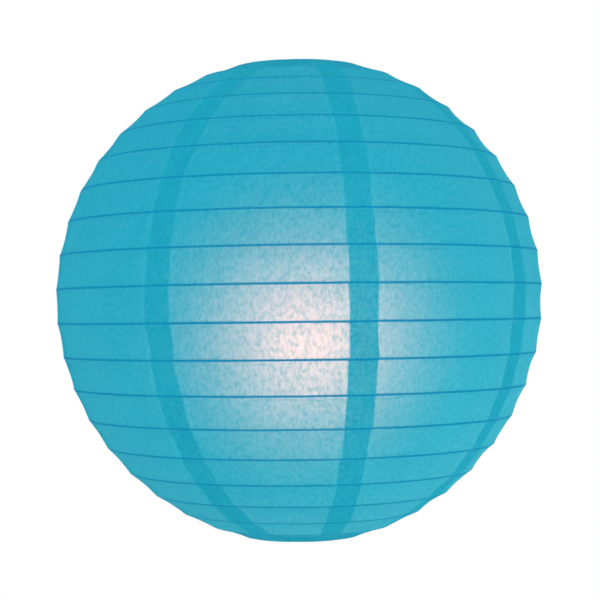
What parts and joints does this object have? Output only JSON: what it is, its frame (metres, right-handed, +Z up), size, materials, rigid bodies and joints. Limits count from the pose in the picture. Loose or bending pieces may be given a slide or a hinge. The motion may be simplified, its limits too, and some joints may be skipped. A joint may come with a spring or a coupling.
{
  "type": "paper lantern",
  "caption": "Round folding paper lantern with sprung wire hoops, lapped paper gores, a wire expander with a hanging eye, and a battery lamp hung inside.",
  "frame": {"origin": "the point where a hook bears in the eye of the wire expander, 3 mm below the plane of the top ring", "axes": "+Z up along the lantern's axis, out of the eye; X along the plane of the expander wire; -Y is the front, with the lamp's battery door"},
  "size_m": [0.3056, 0.3056, 0.2994],
  "materials": {
    "paper": "thin dyed tissue, matt, glowing where it is lit from behind",
    "rib_wire": "fine drawn wire under the paper",
    "expander_wire": "bright drawn spring wire",
    "lamp_plastic": "moulded, satin",
    "frosted_globe": "frosted, glowing",
    "circuit_board": "satin solder resist",
    "led_lens": "clear moulded lens, lit",
    "nickel": "nickel plate",
    "cell_wrap": "shrink sleeve",
    "switch_black": "moulded, fine grain"
  },
  "bodies": {
    "frame": {"expander_bar": "expander_wire", "top_ring": "expander_wire", "gore_1": "paper", "gore_2": "paper", "gore_3": "paper", "gore_4": "paper", "gore_5": "paper", "gore_6": "paper", "gore_7": "paper", "gore_8": "paper"},
    "leg_left": {"leg_left": "expander_wire"},
    "leg_right": {"leg_right": "expander_wire"},
    "bottom_ring": {"bottom_ring": "expander_wire"},
    "rib_01": {"rib_01": "rib_wire"},
    "rib_02": {"rib_02": "rib_wire"},
    "rib_03": {"rib_03": "rib_wire"},
    "rib_04": {"rib_04": "rib_wire"},
    "rib_05": {"rib_05": "rib_wire"},
    "rib_06": {"rib_06": "rib_wire"},
    "rib_07": {"rib_07": "rib_wire"},
    "rib_08": {"rib_08": "rib_wire"},
    "rib_09": {"rib_09": "rib_wire"},
    "rib_10": {"rib_10": "rib_wire"},
    "rib_11": {"rib_11": "rib_wire"},
    "rib_12": {"rib_12": "rib_wire"},
    "rib_13": {"rib_13": "rib_wire"},
    "rib_14": {"rib_14": "rib_wire"},
    "rib_15": {"rib_15": "rib_wire"},
    "rib_16": {"rib_16": "rib_wire"},
    "rib_17": {"rib_17": "rib_wire"},
    "rib_18": {"rib_18": "rib_wire"},
    "hanger": {"lamp_hanger": "expander_wire"},
    "lamp": {"lamp_globe": "frosted_globe", "lamp_housing": "lamp_plastic", "led_board": "circuit_board", "led_1": "led_lens", "led_2": "led_lens", "led_3": "led_lens", "switch_body": "switch_black", "cell_cradle": "lamp_plastic", "contact_plate_lower": "nickel", "contact_plate_upper": "nickel", "cell_1": "cell_wrap", "cell_2": "cell_wrap", "cell_3": "cell_wrap", "lamp_cap": "lamp_plastic", "cap_screw_1": "nickel", "cap_screw_2": "nickel"},
    "battery_door": {"battery_door": "lamp_plastic"},
    "switch_knob": {"switch_knob": "switch_black"}
  },
  "joints": [
    {"name": "shade_fold", "type": "slide", "parent": "frame", "child": "bottom_ring", "axis": [0, 0, 1], "range_m": [0, 0.26901], "deforming": ["gore_1", "gore_2", "gore_3", "gore_4", "gore_5", "gore_6", "gore_7", "gore_8"]},
    {"name": "rib_01_slide", "type": "slide", "parent": "frame", "child": "rib_01", "axis": [0, 0, 1], "range_m": [0, 0.00581]},
    {"name": "rib_02_slide", "type": "slide", "parent": "frame", "child": "rib_02", "axis": [0, 0, 1], "range_m": [0, 0.0145]},
    {"name": "rib_03_slide", "type": "slide", "parent": "frame", "child": "rib_03", "axis": [0, 0, 1], "range_m": [0, 0.02559]},
    {"name": "rib_04_slide", "type": "slide", "parent": "frame", "child": "rib_04", "axis": [0, 0, 1], "range_m": [0, 0.03885]},
    {"name": "rib_05_slide", "type": "slide", "parent": "frame", "child": "rib_05", "axis": [0, 0, 1], "range_m": [0, 0.054]},
    {"name": "rib_06_slide", "type": "slide", "parent": "frame", "child": "rib_06", "axis": [0, 0, 1], "range_m": [0, 0.07072]},
    {"name": "rib_07_slide", "type": "slide", "parent": "frame", "child": "rib_07", "axis": [0, 0, 1], "range_m": [0, 0.08866]},
    {"name": "rib_08_slide", "type": "slide", "parent": "frame", "child": "rib_08", "axis": [0, 0, 1], "range_m": [0, 0.10743]},
    {"name": "rib_09_slide", "type": "slide", "parent": "frame", "child": "rib_09", "axis": [0, 0, 1], "range_m": [0, 0.12665]},
    {"name": "rib_10_slide", "type": "slide", "parent": "frame", "child": "rib_10", "axis": [0, 0, 1], "range_m": [0, 0.14595]},
    {"name": "rib_11_slide", "type": "slide", "parent": "frame", "child": "rib_11", "axis": [0, 0, 1], "range_m": [0, 0.16495]},
    {"name": "rib_12_slide", "type": "slide", "parent": "frame", "child": "rib_12", "axis": [0, 0, 1], "range_m": [0, 0.18329]},
    {"name": "rib_13_slide", "type": "slide", "parent": "frame", "child": "rib_13", "axis": [0, 0, 1], "range_m": [0, 0.20066]},
    {"name": "rib_14_slide", "type": "slide", "parent": "frame", "child": "rib_14", "axis": [0, 0, 1], "range_m": [0, 0.21676]},
    {"name": "rib_15_slide", "type": "slide", "parent": "frame", "child": "rib_15", "axis": [0, 0, 1], "range_m": [0, 0.23131]},
    {"name": "rib_16_slide", "type": "slide", "parent": "frame", "child": "rib_16", "axis": [0, 0, 1], "range_m": [0, 0.24406]},
    {"name": "rib_17_slide", "type": "slide", "parent": "frame", "child": "rib_17", "axis": [0, 0, 1], "range_m": [0, 0.25478]},
    {"name": "rib_18_slide", "type": "slide", "parent": "frame", "child": "rib_18", "axis": [0, 0, 1], "range_m": [0, 0.26328]},
    {"name": "leg_squeeze", "type": "hinge", "parent": "frame", "child": "leg_right", "pos_m": [0.0328, 0, -0.01138], "axis": [0, 1, 0], "range_deg": [0, 1.5], "stiffness_Nm_per_rad": 2.4},
    {"name": "leg_left_squeeze", "type": "hinge", "parent": "frame", "child": "leg_left", "pos_m": [-0.0328, 0, -0.01138], "axis": [0, -1, 0], "range_deg": [0, 1.5], "stiffness_Nm_per_rad": 2.4},
    {"name": "hanger_swing", "type": "hinge", "parent": "frame", "child": "hanger", "pos_m": [0, 0, -0.01846], "axis": [1, 0, 0], "range_deg": [-20, 20]},
    {"name": "lamp_swing", "type": "hinge", "parent": "hanger", "child": "lamp", "pos_m": [0, 0, -0.07321], "axis": [1, 0, 0], "range_deg": [-20, 20]},
    {"name": "battery_door_hinge", "type": "hinge", "parent": "lamp", "child": "battery_door", "pos_m": [0, -0.018, -0.08771], "axis": [-1, 0, 0], "range_deg": [0, 60]},
    {"name": "switch_slide", "type": "slide", "parent": "lamp", "child": "switch_knob", "axis": [0, 0, 1], "range_m": [0, 0.003]}
  ],
  "couplings": [
    {"joint": "rib_01_slide", "follows": "shade_fold", "ratio": 0.021512},
    {"joint": "rib_02_slide", "follows": "shade_fold", "ratio": 0.05384},
    {"joint": "rib_03_slide", "follows": "shade_fold", "ratio": 0.095059},
    {"joint": "rib_04_slide", "follows": "shade_fold", "ratio": 0.14434},
    {"joint": "rib_05_slide", "follows": "shade_fold", "ratio": 0.20066},
    {"joint": "rib_06_slide", "follows": "shade_fold", "ratio": 0.26282},
    {"joint": "rib_07_slide", "follows": "shade_fold", "ratio": 0.32949},
    {"joint": "rib_08_slide", "follows": "shade_fold", "ratio": 0.39928},
    {"joint": "rib_09_slide", "follows": "shade_fold", "ratio": 0.47074},
    {"joint": "rib_10_slide", "follows": "shade_fold", "ratio": 0.54247},
    {"joint": "rib_11_slide", "follows": "shade_fold", "ratio": 0.61308},
    {"joint": "rib_12_slide", "follows": "shade_fold", "ratio": 0.68129},
    {"joint": "rib_13_slide", "follows": "shade_fold", "ratio": 0.74586},
    {"joint": "rib_14_slide", "follows": "shade_fold", "ratio": 0.8057},
    {"joint": "rib_15_slide", "follows": "shade_fold", "ratio": 0.85978},
    {"joint": "rib_16_slide", "follows": "shade_fold", "ratio": 0.90717},
    {"joint": "rib_17_slide", "follows": "shade_fold", "ratio": 0.94703},
    {"joint": "rib_18_slide", "follows": "shade_fold", "ratio": 0.97863},
    {"joint": "leg_left_squeeze", "follows": "leg_squeeze", "ratio": 1}
  ]
}
